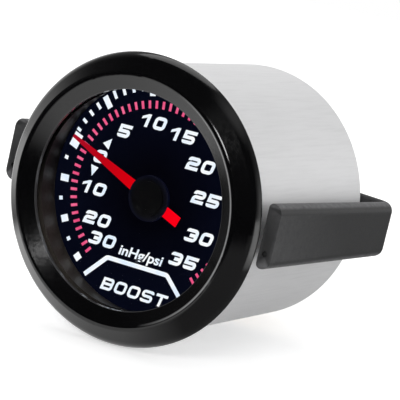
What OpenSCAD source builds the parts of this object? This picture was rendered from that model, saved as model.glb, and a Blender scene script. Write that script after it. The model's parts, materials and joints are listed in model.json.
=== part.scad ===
// Boost and vacuum gauge for a 52 mm panel hole, with its clamp bracket.
// X is right on the dial, +Y runs from front to back, +Z is up, and Y = 0 is the
// rear face of the bezel, which seats on the panel. Sizes are in millimetres.

/* [Bezel] */
// How far the bezel stands out past the barrel
bezel_overhang = 2; // [1.9:0.1:4]
// How far the rim's crest stands in front of the panel
crest_h = 4; // [3.9:0.05:4.2]
// Rounding of the crest between the funnel and the bevel
crest_r = 1; // [0.8:0.05:1.1]
// How far the middle of the crest's rounding lies inside the bezel's radius
crest_inset = 4.05; // [3.9:0.05:4.2]
// Slope of the bevel against the panel, in degrees
bevel_angle = 37; // [35:1:39]
// Slope of the bezel's side against the axis where it meets the panel, in degrees
side_angle = 12; // [8:1:16]
// How far the opening in front of the lens lies inside the barrel's radius
mouth_inset = 5.1; // [5:0.1:7]
// How far the funnel runs back from the rim's crest
mouth_depth = 1.55; // [1.4:0.05:1.65]
// Thickness of the lip at the bottom of the funnel
mouth_lip = 0.65; // [0.6:0.05:0.8]
// Thickness of the bezel behind the can's flange
bezel_rear_t = 1.1; // [1:0.05:1.2]
// Chamfer of the bezel's rear edge
bezel_edge = 0.2; // [0.1:0.05:0.3]

/* [Can] */
// Radius of the barrel, half of the panel hole
barrel_r = 26; // [25.6:0.1:26.1]
// Depth of the can behind the panel seat
can_depth = 44.7; // [43:0.5:60]
// Sheet thickness of the can
can_wall = 0.6; // [0.4:0.05:0.7]
// Rounding of the can's rear edge
can_edge_r = 1; // [0.6:0.1:2]
// How far the can's front flange stands out
flange_w = 0.5; // [0.4:0.05:0.6]
// Thickness of the can's front flange
flange_t = 0.7; // [0.5:0.05:0.8]

/* [Lens and dial] */
// Thickness of the lens
lens_t = 1.6; // [1:0.1:2.5]
// Thickness of the seal in front of the lens
gasket_t = 0.4; // [0.3:0.05:0.5]
// Distance from the lens back to the dial face
dial_depth = 6.65; // [5:0.1:9]
// Thickness of the dial
dial_t = 1; // [0.6:0.1:1.5]
// How far the shroud meets the dial inside the barrel's radius
shroud_inset = 3.5; // [3:0.1:4.4]
// Wall thickness of the shroud
shroud_wall = 0.9; // [0.7:0.1:1.2]
// Thickness of the clear light guide
guide_t = 1.55; // [1.3:0.05:3]
// Thickness of the lamp board
board_t = 1.2; // [0.8:0.1:1.6]
// Number of lamps
led_count = 8; // [4:1:12]
// How far the ring of lamps lies inside the barrel's radius
led_inset = 9; // [6:0.5:14]
// Wall thickness of the sleeve between board and can
sleeve_wall = 0.95; // [0.7:0.05:1.2]

/* [Pointer] */
// How far the pointer's tip lies inside the barrel's radius
pointer_inset = 5; // [4.5:0.5:8]
// Length of the pointer's tail from the axis
pointer_tail = 7.75; // [5:0.25:10]
// Width of the pointer at the hub and along its tail
pointer_w = 2.12; // [1.6:0.02:2.6]
// Width of the pointer's tip
pointer_tip_w = 0.6; // [0.3:0.1:1]
// Thickness of the pointer
pointer_t = 0.3; // [0.2:0.05:0.4]
// Radius of the pointer's hub
hub_r = 4.45; // [3.5:0.05:6]
// Thickness of the pointer's hub
hub_t = 0.85; // [0.7:0.05:1.5]
// Resting direction of the pointer, counted from the right
pointer_rest = 157.5; // [150:0.5:165]

/* [Movement] */
// Gap between the lamp board and the movement
movement_gap = 5.8; // [4:0.1:9]
// Thickness of the movement's plates
plate_t = 1.2; // [1:0.1:1.5]
// Distance between the movement's plates
plate_gap = 5.8; // [5.4:0.1:7]
// Number of teeth of the pinion
pinion_teeth = 12; // [12:1:13]
// Number of teeth of a full sector wheel
sector_teeth = 96; // [92:1:98]
// Thickness of the toothed sector and its tail
sector_t = 1; // [0.8:0.1:1.4]
// Width of the flattened pressure tube
tube_w = 6; // [4:0.5:7]
// Thickness of the flattened pressure tube
tube_d = 1.6; // [1.2:0.1:2]
// Wall of the pressure tube
tube_wall = 0.25; // [0.15:0.05:0.3]
// Turns of the hairspring
spring_turns = 3; // [2:1:4]
// Thickness of the hairspring's strip
spring_t = 0.15; // [0.1:0.01:0.2]
// Width of the hairspring's strip
spring_w = 0.8; // [0.6:0.1:1]

/* [Pressure port] */
// Thickness of the port's nut
port_nut_t = 3; // [2:0.5:5]
// Radius of the hose seat
hose_r = 2.4; // [2:0.1:3]
// Length of the plain hose seat
hose_seat = 6; // [5:0.5:10]
// Number of barbs behind the hose seat
barb_count = 3; // [1:1:5]
// Length of one barb
barb_len = 2; // [1.5:0.1:3]

/* [Clamp bracket] */
// Gap between the barrel and each leg
leg_clear = 1.9; // [1.9:0.1:3]
// Thickness of the bracket
leg_t = 2.8; // [2.7:0.1:3.6]
// Height of a leg at its foot
foot_h = 12.4; // [10:0.1:15]
// Height of the crossbar
bar_h = 11.4; // [9:0.1:12]
// How far the foot's middle stands above the crossbar's middle
leg_rise = 1.7; // [0:0.1:3]
// Distance of the feet from the panel seat
foot_y = 1.1; // [1.1:0.1:6]
// Gap between the can's back and the crossbar
bar_gap = 3.9; // [3:0.1:10]
// Rounding of the bracket's outer edges
leg_round = 1.9; // [0.5:0.1:1.9]
// Thickness of the web inside a leg's channel
leg_web = 1.6; // [1.2:0.1:2.2]
// How far the bracket is turned round the barrel
bracket_turn = 3.2; // [-5:0.1:5]
// Radius of the threaded studs
stud_r = 2; // [1.5:0.1:2.2]
// Length of the studs behind the can
stud_len = 19.9; // [14:0.1:30]
// Width across the flats of the studs' thin nuts
jam_nut_af = 7; // [6:0.1:8]
// Thickness of the studs' thin nuts
jam_nut_t = 1.6; // [1.2:0.1:1.7]
// Radius of the washers under the thumb nuts
washer_r = 4.5; // [4:0.1:6]
// Thickness of the washers under the thumb nuts
washer_t = 0.8; // [0.5:0.1:1.2]
// Radius of a thumb nut
thumb_r = 4.5; // [4:0.1:6]
// Length of a thumb nut
thumb_len = 6; // [5:0.1:7]
// Number of grooves round a thumb nut
knurl_count = 24; // [16:1:32]

/* [Lead grommet] */
// Radius of the grommet's neck
grommet_r = 3.6; // [3:0.1:4.5]
// Radius of the grommet's bore
grommet_bore_r = 2; // [1.2:0.1:2.4]
// Thickness of the grommet's two collars
grommet_t = 1.1; // [0.8:0.1:1.5]
// How far the grommet's collars stand out
grommet_lip = 1.4; // [1:0.1:2]

/* [Hidden] */
$fn = 64;
over = 0.5;
fit = 0.05;

// Places inside and behind the can, as shares of the barrel's radius
gear_distance_share = 13.5 / 26;
tail_share = 5.2 / 26;
tip_pivot_shares = [15.5 / 26, -5 / 26];
pillar_shares = [8 / 26, 5 / 26];
pillar_side_shares = [-7.5 / 26, -10.5 / 26];
tube_share = 20 / 26;
socket_x_shares = [-8.4 / 26, 7 / 26];
socket_z_shares = [-22 / 26, -15.8 / 26];
nose_x_shares = [-8.4 / 26, -3.2 / 26];
socket_top_share = -9.5 / 26;
tongue_x_shares = [-1.5 / 26, 6.5 / 26];
tongue_z_shares = [-21.5 / 26, -13.5 / 26];
socket_screw_shares = [[0.9 / 26, -18.7 / 26], [4.7 / 26, -18.7 / 26]];
drill_x_share = -5.6 / 26;
foot_flange_share = 6.8 / 26;
port_drop_share = 14.5 / 26;
stem_share = 4.5 / 26;
port_nut_share = 13 / 26;
port_washer_share = 6.6 / 26;
stud_share = 14 / 26;
grommet_share = 14 / 26;

// Levels along Y, from the rim to the board
y_crest = -crest_h;
y_mouth = y_crest + mouth_depth;
y_lens = y_mouth + mouth_lip;
y_lens_back = y_lens + lens_t;
y_dial = y_lens_back + dial_depth;
y_guide = y_dial + dial_t;
y_board = y_guide + guide_t;
y_board_back = y_board + board_t;
y_floor = can_depth - can_wall;

// Radii of the stack inside the can
bezel_r = barrel_r + bezel_overhang;
mouth_r = barrel_r - mouth_inset;
shroud_rear_r = barrel_r - shroud_inset;
led_ring_r = barrel_r - led_inset;
can_in_r = barrel_r - can_wall;
stack_gap = 0.2;
stack_r = can_in_r - stack_gap;
flange_r = barrel_r + flange_w;
flange_y = -(bezel_rear_t + flange_t);
neck_step = 0.3;
neck_r = barrel_r - neck_step;
neck_end = 0.1;

// Middles of the crest's and the side's rounding. The bevel touches both, and the
// side ends at the bezel's rear edge.
crest_c = [bezel_r - crest_inset, y_crest + crest_r];
side_end = [bezel_r, -bezel_edge];
bevel_out = [sin(bevel_angle), -cos(bevel_angle)];
side_out = [cos(side_angle), -sin(side_angle)];
side_r = (crest_r + (crest_c - side_end) * bevel_out) / (1 - side_out * bevel_out);
side_c = side_end - side_r * side_out;
bevel_start = crest_c + crest_r * bevel_out;
bevel_end = side_c + side_r * bevel_out;
mouth_at = [mouth_r, y_mouth];
crest_reach = norm(crest_c - mouth_at);
funnel_slope = atan2(mouth_at.y - crest_c.y, crest_c.x - mouth_at.x) + asin(crest_r / crest_reach);
funnel_end = crest_c - crest_r * [sin(funnel_slope), cos(funnel_slope)];

gasket_in_r = mouth_r + mouth_lip;
gasket_out_r = stack_r - stack_gap;
shroud_front_r = mouth_r + fit;
shroud_skirt = 0.8;
shroud_flange = 1;
dial_bore_r = 2.2;
board_bore_r = 2.6;
led_w = 3.2;
led_h = 2.8;
led_t = 0.9;
sleeve_r = can_in_r - fit;
sleeve_in_r = sleeve_r - sleeve_wall;

// Pointer
pointer_len = barrel_r - pointer_inset;
blade_gap = 0.55;
y_blade_back = y_dial - blade_gap;
y_blade = y_blade_back - pointer_t;
hub_back_gap = 0.35;
y_hub_back = y_dial - hub_back_gap;
y_hub = y_hub_back - hub_t;
hub_ring_r = 3.3;
hub_step = 0.12;
arbor_r = 0.5;
arbor_cover = 0.2;
y_arbor = y_hub + arbor_cover;

// Movement
y_front_plate = y_board_back + movement_gap;
y_plates_in = y_front_plate + plate_t;
y_back_plate = y_plates_in + plate_gap;
y_plates_end = y_back_plate + plate_t;
y_mid = (y_plates_in + y_back_plate) / 2;
y_sector = y_mid - sector_t / 2;
y_sector_back = y_mid + sector_t / 2;
pressure_angle = 25;
gear_distance = barrel_r * gear_distance_share;
gear_module = 2 * gear_distance / (pinion_teeth + sector_teeth);
pinion_r = gear_module * pinion_teeth / 2;
sector_r = gear_module * sector_teeth / 2;
backlash = 0.03;
flank_steps = 4;
sector_teeth_right = 9;
sector_teeth_left = 4;
pinion_t = 1.8;
pinion_play = fit;
arbor_end = 0.7;
collet_r = 1.5;
collar_r = 0.9;
sector_arbor_r = 0.6;
sector_hub_r = 1.7;
sector_rim = 1.9;
sector_spoke_w = 2.6;
tail_w = 2.6;
tail_len = barrel_r * tail_share;
pin_r = 0.5;
pin_head_r = 0.9;
pin_head_t = 0.3;
link_t = 0.6;
link_w = 1.3;
link_eye_r = 1.35;
link_play = 0.25;
tip_pivot = barrel_r * tip_pivot_shares;
tail_pivot = [tail_len, -gear_distance];
link_vec = tip_pivot - tail_pivot;
link_len = norm(link_vec);
link_angle = atan2(link_vec.y, link_vec.x);
y_link = y_sector_back + fit;
y_pin_head = y_link + link_t + fit;

// Movement frame
pillar_x = barrel_r * pillar_shares.x;
pillar_top = barrel_r * pillar_shares.y;
pillar_side = barrel_r * pillar_side_shares;
pillars = [[-pillar_x, pillar_top], [pillar_x, pillar_top], pillar_side];
pillar_r = 1.5;
spigot_r = 0.9;
ear_r = 2.6;
neck_w = 5;
neck_drop = 2.6;
screw_r = 0.8;
screw_head_r = 1.5;
screw_head_t = 0.9;
screw_len = 4;
slot_w = 0.35;
slot_depth = 0.3;

// Hairspring
spring_gap = 0.6;
y_spring = y_plates_in + spring_gap;
spring_in_r = collet_r + spring_t;
spring_out_r = 4.2;
spring_steps = 24;
spring_tail = 1;
spring_post_r = 0.45;

// Pressure tube, its tip and its socket
tube_r = barrel_r * tube_share;
tube_from = -8;
tube_to = 255.5;
tip_block_d = 0.5;
tip_block_len = 3;
socket_x = barrel_r * socket_x_shares;
socket_z = barrel_r * socket_z_shares;
nose_x = barrel_r * nose_x_shares;
socket_top = barrel_r * socket_top_share;
socket_step = 9.8;
nose_lead = 0.6;
tongue_x = barrel_r * tongue_x_shares;
tongue_z = barrel_r * tongue_z_shares;
socket_screws = barrel_r * socket_screw_shares;
drill_r = 1.1;
drill_x = barrel_r * drill_x_share;
drill_y = 7;
foot_flange_r = barrel_r * foot_flange_share;
foot_flange_t = 2;

// Port outside the can
port_drop = barrel_r * port_drop_share;
stem_r = barrel_r * stem_share;
port_nut_af = barrel_r * port_nut_share;
port_washer_r = barrel_r * port_washer_share;
port_washer_t = 0.8;
stem_spare = 1.5;
y_stem_end = can_depth + port_washer_t + port_nut_t + stem_spare;
barb_cut = 0.4;
y_port_end = y_stem_end + hose_seat + barb_count * barb_len;

// Clamp bracket
stud_x = barrel_r * stud_share;
grommet_rise = barrel_r * grommet_share;
leg_x = barrel_r + leg_clear;
leg_out_x = leg_x + leg_t;
y_bar = can_depth + bar_gap;
y_bar_back = y_bar + leg_t;
leg_round_in = 0.9;
round_steps = 8;
corner_r = 0.3;
y_corner = y_bar - corner_r;
leg_run = y_corner - foot_y;
leg_pad = 6;
channel_margin = 2.6;
stud_clear = 0.25;
stud_head_r = 4.2;
stud_head_t = 2.2;
eye_r = 0.55;
eye_depth = 0.6;
eye_rise = 2.9;
eye_in = 1.3;
y_thumb = y_bar_back + washer_t;
thumb_shoulder_r = 3.5;
thumb_shoulder = 0.8;
thumb_chamfer = 0.5;
knurl_depth = 0.35;

// A profile of radius and depth, turned round the Y axis
module turned() {
    rotate([-90, 0, 0])
        rotate_extrude()
            children();
}

// An outline seen from the front, from depth y to y + t
module slab(y, t) {
    translate([0, y + t, 0])
        rotate([90, 0, 0])
            linear_extrude(t)
                children();
}

// A rod along Y at a place on the front view
module rod(r, y, len, at = [0, 0]) {
    translate([at.x, y + len, at.y])
        rotate([90, 0, 0])
            cylinder(r = r, h = len);
}

// A flat ring with a bore
module ring(r, bore, y, len, at = [0, 0]) {
    difference() {
        rod(r, y, len, at);
        rod(bore, y - over, len + 2 * over, at);
    }
}

// A hexagon nut with flats up and down
module hex_nut(af, bore, y, len, at) {
    difference() {
        translate([at.x, y + len, at.y])
            rotate([90, 0, 0])
                cylinder(r = af / sqrt(3), h = len, $fn = 6);
        rod(bore, y - over, len + 2 * over, at);
    }
}

// A slotted screw, head to the front
module screw(y, at) {
    difference() {
        union() {
            rod(screw_head_r, y - screw_head_t, screw_head_t, at);
            rod(screw_r, y, screw_len, at);
        }
        translate([at.x - screw_head_r - over, y - screw_head_t - over, at.y - slot_w / 2])
            cube([2 * (screw_head_r + over), slot_depth + over, slot_w]);
    }
}

// Case

module bezel_profile() {
    polygon([
        crest_c,
        funnel_end,
        mouth_at,
        [mouth_r, y_lens],
        [neck_r + fit, y_lens],
        [neck_r + fit, -neck_end],
        [barrel_r + fit, -neck_end],
        [barrel_r + fit, 0],
        [bezel_r - bezel_edge, 0],
        side_end,
        bevel_end,
        bevel_start
    ]);
}

module crest_profile() {
    translate(crest_c)
        circle(r = crest_r);
}

module side_profile() {
    intersection() {
        translate(side_c)
            circle(r = side_r);
        polygon([
            side_end,
            bevel_end,
            bevel_end + crest_r * bevel_out,
            side_end + crest_r * side_out
        ]);
    }
}

module bezel_ring() {
    color("#15161a")
        difference() {
            union() {
                turned()
                    bezel_profile();
                turned()
                    crest_profile();
                turned()
                    side_profile();
            }
            rod(neck_r + fit, y_lens, over - y_lens);
            rod(barrel_r + fit, -neck_end, neck_end + over);
            ring(gasket_out_r + fit, gasket_in_r, y_lens - gasket_t, gasket_t + over);
            ring(flange_r + fit, gasket_out_r, flange_y, flange_t);
        }
}

module lens_gasket() {
    color("#303030")
        ring(gasket_out_r, gasket_in_r, y_lens - gasket_t, gasket_t);
}

module lens() {
    color("#c8d8e0", 0.5)
        rod(stack_r, y_lens, lens_t);
}

module dial_shroud() {
    inner_at_flange = shroud_front_r + (shroud_rear_r - shroud_front_r) * shroud_flange / dial_depth;
    color("#202024")
        turned()
            polygon([
                [shroud_front_r, y_lens_back],
                [stack_r, y_lens_back],
                [stack_r, y_dial],
                [stack_r - shroud_skirt, y_dial],
                [stack_r - shroud_skirt, y_lens_back + shroud_flange],
                [inner_at_flange + shroud_wall, y_lens_back + shroud_flange],
                [shroud_rear_r + shroud_wall, y_dial],
                [shroud_rear_r, y_dial]
            ]);
}

module dial_plate() {
    color("#0c0e16")
        ring(stack_r, dial_bore_r, y_dial, dial_t);
}

module at_leds() {
    for (i = [0 : led_count - 1])
        rotate([0, (i + 0.5) * 360 / led_count, 0])
            translate([led_ring_r, 0, 0])
                children();
}

module light_guide() {
    color("#dfe8ee", 0.6)
        difference() {
            ring(stack_r, board_bore_r, y_guide, guide_t);
            at_leds()
                translate([-led_w / 2 - fit, y_board - led_t - fit, -led_h / 2 - fit])
                    cube([led_w + 2 * fit, led_t + fit + over, led_h + 2 * fit]);
        }
}

module led_board() {
    color("#1f5c34")
        ring(stack_r, board_bore_r, y_board, board_t);
}

module leds() {
    color("#f4f0dc")
        at_leds()
            translate([-led_w / 2, y_board - led_t, -led_h / 2])
                cube([led_w, led_t, led_h]);
}

module spacer_sleeve() {
    color("#44464a")
        ring(sleeve_r, sleeve_in_r, y_board_back, y_floor - y_board_back);
}

module can_profile() {
    union() {
        polygon([
            [can_in_r, flange_y],
            [flange_r, flange_y],
            [flange_r, flange_y + flange_t],
            [neck_r, flange_y + flange_t],
            [neck_r, -neck_end],
            [barrel_r, -neck_end],
            [barrel_r, can_depth - can_edge_r],
            [barrel_r - can_edge_r, can_depth],
            [0, can_depth],
            [0, y_floor],
            [can_in_r, y_floor]
        ]);
        intersection() {
            translate([barrel_r - can_edge_r, can_depth - can_edge_r])
                circle(r = can_edge_r);
            translate([barrel_r - can_edge_r, can_depth - can_edge_r])
                square(can_edge_r);
        }
    }
}

module can() {
    color("#d4d6d8")
        difference() {
            turned()
                difference() {
                    can_profile();
                    translate([0, flange_y - over])
                        square([can_in_r, y_floor - flange_y + over]);
                }
            rod(stem_r + fit, y_floor - over, can_wall + 2 * over, [0, -port_drop]);
            rod(grommet_r, y_floor - over, can_wall + 2 * over, [0, grommet_rise]);
            on_studs()
                rod(stud_r + fit, y_floor - over, can_wall + 2 * over, [stud_x, 0]);
        }
}

module lead_grommet() {
    lip_r = grommet_r + grommet_lip;
    color("#26282a")
        difference() {
            union() {
                rod(grommet_r, y_floor, can_wall, [0, grommet_rise]);
                rod(lip_r, y_floor - grommet_t, grommet_t, [0, grommet_rise]);
                rod(lip_r, can_depth, grommet_t, [0, grommet_rise]);
            }
            rod(grommet_bore_r, y_floor - grommet_t - over, can_wall + 2 * (grommet_t + over), [0, grommet_rise]);
        }
}

// Pointer

module pointer_outline() {
    polygon([
        [pointer_len, pointer_tip_w / 2],
        [hub_r, pointer_w / 2],
        [-pointer_tail, pointer_w / 2],
        [-pointer_tail, -pointer_w / 2],
        [hub_r, -pointer_w / 2],
        [pointer_len, -pointer_tip_w / 2]
    ]);
}

module pointer_blade() {
    color("#d01020")
        slab(y_blade, pointer_t)
            rotate(pointer_rest)
                difference() {
                    pointer_outline();
                    circle(r = arbor_r);
                }
}

module pointer_hub() {
    color("#141416")
        difference() {
            union() {
                rod(hub_ring_r, y_hub, hub_step);
                rod(hub_r, y_hub + hub_step, hub_t - hub_step);
            }
            slab(y_blade, y_hub_back - y_blade + over)
                rotate(pointer_rest)
                    pointer_outline();
            rod(arbor_r, y_arbor, hub_t);
        }
}

// Gear outlines

function polar(r, a) = [r * cos(a), r * sin(a)];
function involute(a) = tan(a) * 180 / PI - a;
function tooth_half(teeth, rho) =
    let (r = gear_module * teeth / 2, base = r * cos(pressure_angle))
    90 / teeth - backlash / r * 90 / PI + involute(pressure_angle)
        - involute(acos(min(1, base / rho)));
function flank_radii(teeth, root) =
    let (r = gear_module * teeth / 2)
    let (low = max(root, r * cos(pressure_angle)), tip = r + gear_module)
    [for (i = [0 : flank_steps]) low + (tip - low) * i / flank_steps];
function tooth(teeth, root, mid) =
    let (radii = flank_radii(teeth, root), n = len(radii) - 1)
    concat(
        [polar(root, mid - tooth_half(teeth, radii[0]))],
        [for (i = [0 : n]) polar(radii[i], mid - tooth_half(teeth, radii[i]))],
        [for (i = [n : -1 : 0]) polar(radii[i], mid + tooth_half(teeth, radii[i]))],
        [polar(root, mid + tooth_half(teeth, radii[0]))]
    );
pinion_root = pinion_r - 1.25 * gear_module;
sector_root = sector_r - 1.25 * gear_module;

module pinion_outline() {
    polygon([
        for (k = [0 : pinion_teeth - 1])
            each tooth(pinion_teeth, pinion_root, -90 + (k + 0.5) * 360 / pinion_teeth)
    ]);
}

// The toothed rim is drawn round the sector's pivot
module sector_rim_outline() {
    step = 360 / sector_teeth;
    inner_r = sector_root - sector_rim;
    first = 90 - (sector_teeth_right + 0.5) * step;
    last = 90 + (sector_teeth_left + 0.5) * step;
    polygon(concat(
        [polar(sector_root, first)],
        [for (k = [-sector_teeth_right : sector_teeth_left])
            each tooth(sector_teeth, sector_root, 90 + k * step)],
        [polar(sector_root, last)],
        [for (k = [sector_teeth_left : -1 : -sector_teeth_right]) polar(inner_r, 90 + (k + 0.5) * step)],
        [polar(inner_r, first)]
    ));
}

module sector_outline() {
    step = 360 / sector_teeth;
    reach = sector_root - sector_rim / 2;
    union() {
        sector_rim_outline();
        circle(r = sector_hub_r);
        for (k = [0.5 - sector_teeth_right, sector_teeth_left - 0.5])
            rotate(90 + k * step)
                translate([0, -sector_spoke_w / 2])
                    square([reach, sector_spoke_w]);
        translate([0, -tail_w / 2])
            square([tail_len, tail_w]);
        translate([tail_len, 0])
            circle(r = tail_w / 2);
    }
}

// Movement

module pinion_arbor() {
    color("#b8bcc0")
        difference() {
            union() {
                rod(arbor_r, y_arbor, y_plates_end + arbor_end - y_arbor);
                slab(y_mid - pinion_t / 2, pinion_t)
                    pinion_outline();
                rod(collet_r, y_spring, spring_w);
                rod(collar_r, y_plates_in + pinion_play, y_spring - y_plates_in - pinion_play);
                rod(collar_r, y_mid + pinion_t / 2, y_back_plate - pinion_play - y_mid - pinion_t / 2);
            }
            translate([collar_r, y_spring - over, -spring_t / 2])
                cube([collet_r, spring_w + 2 * over, spring_t]);
        }
}

module sector_gear() {
    color("#c8a24a")
        translate([0, 0, -gear_distance])
            difference() {
                union() {
                    slab(y_sector, sector_t)
                        sector_outline();
                    rod(sector_hub_r, y_sector_back, y_back_plate - pinion_play - y_sector_back);
                }
                rod(sector_arbor_r, y_sector - over, plate_gap);
                rod(pin_r, y_sector - over, sector_t + 2 * over, [tail_len, 0]);
            }
}

module sector_arbor() {
    pivot = [0, -gear_distance];
    color("#b8bcc0")
        union() {
            rod(sector_arbor_r, y_front_plate - arbor_end, y_plates_end - y_front_plate + 2 * arbor_end, pivot);
            rod(sector_hub_r, y_plates_in + pinion_play, y_sector - y_plates_in - pinion_play, pivot);
        }
}

module headed_pin(at) {
    rod(pin_r, y_sector, y_pin_head - y_sector, at);
    rod(pin_head_r, y_pin_head, pin_head_t, at);
}

module sector_pin() {
    color("#d0d2d4")
        union()
            headed_pin(tail_pivot);
}

module tip_pin() {
    color("#d0d2d4")
        union()
            headed_pin(tip_pivot);
}

module link_rod() {
    color("#c8a24a")
        translate([tail_pivot.x, 0, tail_pivot.y])
            slab(y_link, link_t)
                rotate(link_angle)
                    difference() {
                        union() {
                            circle(r = link_eye_r);
                            translate([link_len, 0])
                                circle(r = link_eye_r);
                            translate([0, -link_w / 2])
                                square([link_len, link_w]);
                        }
                        circle(r = pin_r + fit);
                        translate([link_len, 0])
                            circle(r = pin_r + link_play);
                    }
}

module tip_lug_outline() {
    foot = [tube_r * cos(tube_from) - tube_d / 2, tube_r * sin(tube_from) - tip_block_len / 2];
    union() {
        translate(tip_pivot)
            circle(r = tail_w / 2);
        polygon([
            [tip_pivot.x, tip_pivot.y + tail_w / 2],
            [tip_pivot.x, tip_pivot.y - tail_w / 2],
            [foot.x, foot.y - tail_w / 2],
            [foot.x, foot.y + tail_w / 2]
        ]);
    }
}

module tube_tip() {
    block_d = tube_d + 2 * tip_block_d;
    block_w = tube_w + 2 * tip_block_d;
    color("#c8a24a")
        difference() {
            union() {
                rotate([0, -tube_from, 0])
                    translate([tube_r - block_d / 2, y_mid - block_w / 2, -tip_block_len])
                        cube([block_d, block_w, tip_block_len]);
                slab(y_sector, sector_t)
                    tip_lug_outline();
            }
            rod(pin_r, y_sector - over, sector_t + 2 * over, tip_pivot);
        }
}

module flat_tube(w, d) {
    union() {
        square([d, w - d], center = true);
        for (s = [-1, 1])
            translate([0, s * (w - d) / 2])
                circle(r = d / 2);
    }
}

module tube_sweep(from, to) {
    translate([0, y_mid, 0])
        rotate([90, 0, 0])
            rotate([0, 0, from])
                rotate_extrude(angle = to - from)
                    translate([tube_r, 0])
                        children();
}

module bourdon_tube() {
    color("#d8b860")
        tube_sweep(tube_from, tube_to)
            difference() {
                flat_tube(tube_w, tube_d);
                flat_tube(tube_w - 2 * tube_wall, tube_d - 2 * tube_wall);
            }
}

module spiral_outline() {
    n = spring_turns * spring_steps;
    grow = (spring_out_r - spring_in_r) / n;
    polygon(concat(
        [for (i = [0 : n]) polar(spring_in_r + grow * i + spring_t / 2, i * 360 / spring_steps)],
        [for (i = [n : -1 : 0]) polar(spring_in_r + grow * i - spring_t / 2, i * 360 / spring_steps)]
    ));
}

module spring_tail_outline(w) {
    translate([spring_out_r - w / 2, 0])
        square([w, spring_tail]);
}

module hairspring() {
    color("#b0a070")
        slab(y_spring, spring_w)
            union() {
                spiral_outline();
                translate([collar_r, -spring_t / 2])
                    square([spring_in_r - collar_r, spring_t]);
                spring_tail_outline(spring_t);
            }
}

module hairspring_post() {
    color("#c8a24a")
        difference() {
            rod(spring_post_r, y_plates_in, y_spring - y_plates_in + spring_w + spring_gap / 2,
                [spring_out_r, spring_tail]);
            slab(y_spring, spring_w + spring_gap)
                spring_tail_outline(spring_t);
        }
}

module plate_blank(y) {
    low = -gear_distance - neck_drop;
    slab(y, plate_t)
        polygon([
            pillars[0],
            [-pillar_x, pillar_top + ear_r],
            [pillar_x, pillar_top + ear_r],
            pillars[1],
            [neck_w / 2, low],
            [-neck_w / 2, low],
            pillars[2] + [0, -ear_r / 2],
            pillars[2]
        ]);
    for (p = pillars)
        rod(ear_r, y, plate_t, p);
}

module plate_bores(y) {
    rod(arbor_r + fit, y - over, plate_t + 2 * over);
    rod(sector_arbor_r + fit, y - over, plate_t + 2 * over, [0, -gear_distance]);
}

module movement_front_plate() {
    color("#c8a24a")
        difference() {
            union()
                plate_blank(y_front_plate);
            plate_bores(y_front_plate);
            for (p = pillars)
                rod(screw_r, y_front_plate - over, plate_t + 2 * over, p);
        }
}

module movement_back_plate() {
    color("#c8a24a")
        difference() {
            union() {
                plate_blank(y_back_plate);
                between(tongue_x, [y_back_plate, y_plates_end], tongue_z);
            }
            plate_bores(y_back_plate);
            for (p = pillars)
                rod(spigot_r, y_back_plate - over, plate_t + 2 * over, p);
            for (p = socket_screws)
                rod(screw_r, y_back_plate - over, plate_t + 2 * over, p);
        }
}

module movement_pillars() {
    shank = screw_len - plate_t;
    color("#b8bcc0")
        for (p = pillars)
            difference() {
                union() {
                    rod(pillar_r, y_plates_in, plate_gap, p);
                    rod(spigot_r, y_back_plate, plate_t, p);
                }
                rod(screw_r, y_plates_in - over, shank + over, p);
            }
}

module movement_screws() {
    color("#8e9296")
        union() {
            for (p = pillars)
                screw(y_front_plate, p);
            for (p = socket_screws)
                screw(y_back_plate, p);
        }
}

// Pressure port

module between(x, y, z) {
    translate([x[0], y[0], z[0]])
        cube([x[1] - x[0], y[1] - y[0], z[1] - z[0]]);
}

module barb_profile() {
    polygon(concat(
        [[0, y_stem_end], [hose_r, y_stem_end]],
        [for (k = [0 : barb_count - 1]) each [
            [hose_r, y_stem_end + hose_seat + k * barb_len],
            [hose_r - barb_cut, y_stem_end + hose_seat + (k + 1) * barb_len]
        ]],
        [[0, y_port_end]]
    ));
}

module port_drillings() {
    y_cross = y_floor - drill_y;
    low = (socket_z[0] + socket_z[1]) / 2;
    rod(drill_r, y_cross, y_port_end - y_cross + over, [0, -port_drop]);
    translate([0, y_cross, low])
        cylinder(r = drill_r, h = -port_drop - low);
    translate([drill_x, y_cross, low])
        rotate([0, 90, 0])
            cylinder(r = drill_r, h = -drill_x);
    rod(drill_r, y_mid, y_cross - y_mid, [drill_x, low]);
}

module pressure_port() {
    y_step = y_floor - socket_step;
    color("#c8a24a")
        difference() {
            union() {
                between(socket_x, [y_plates_end, y_floor], socket_z);
                between(socket_x, [y_step, y_floor], [socket_z[0], socket_top]);
                between(nose_x, [y_mid - tube_w / 2 - nose_lead, y_floor], socket_z);
                rod(foot_flange_r, y_floor - foot_flange_t, foot_flange_t, [0, -port_drop]);
                rod(stem_r, y_floor - foot_flange_t, y_stem_end - y_floor + foot_flange_t, [0, -port_drop]);
                translate([0, 0, -port_drop])
                    turned()
                        barb_profile();
            }
            tube_sweep(tube_from, tube_to)
                flat_tube(tube_w, tube_d);
            port_drillings();
            for (p = socket_screws)
                rod(screw_r, y_plates_end - over, screw_len - plate_t + over, p);
        }
}

module port_washer() {
    color("#c9ccd0")
        ring(port_washer_r, stem_r + fit, can_depth, port_washer_t, [0, -port_drop]);
}

module port_nut() {
    color("#c8a24a")
        hex_nut(port_nut_af, stem_r, can_depth + port_washer_t, port_nut_t, [0, -port_drop]);
}

// Studs and clamp bracket

module turned_bracket() {
    rotate([0, bracket_turn, 0])
        children();
}

module on_studs() {
    turned_bracket()
        for (s = [0, 180])
            rotate([0, s, 0])
                children();
}

module mounting_studs() {
    color("#a8acb0")
        on_studs()
            union() {
                rod(stud_head_r, y_floor - stud_head_t, stud_head_t, [stud_x, 0]);
                rod(stud_r, y_floor, can_wall + stud_len, [stud_x, 0]);
            }
}

module stud_jam_nuts() {
    color("#8e9296")
        on_studs()
            hex_nut(jam_nut_af, stud_r, can_depth, jam_nut_t, [stud_x, 0]);
}

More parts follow.
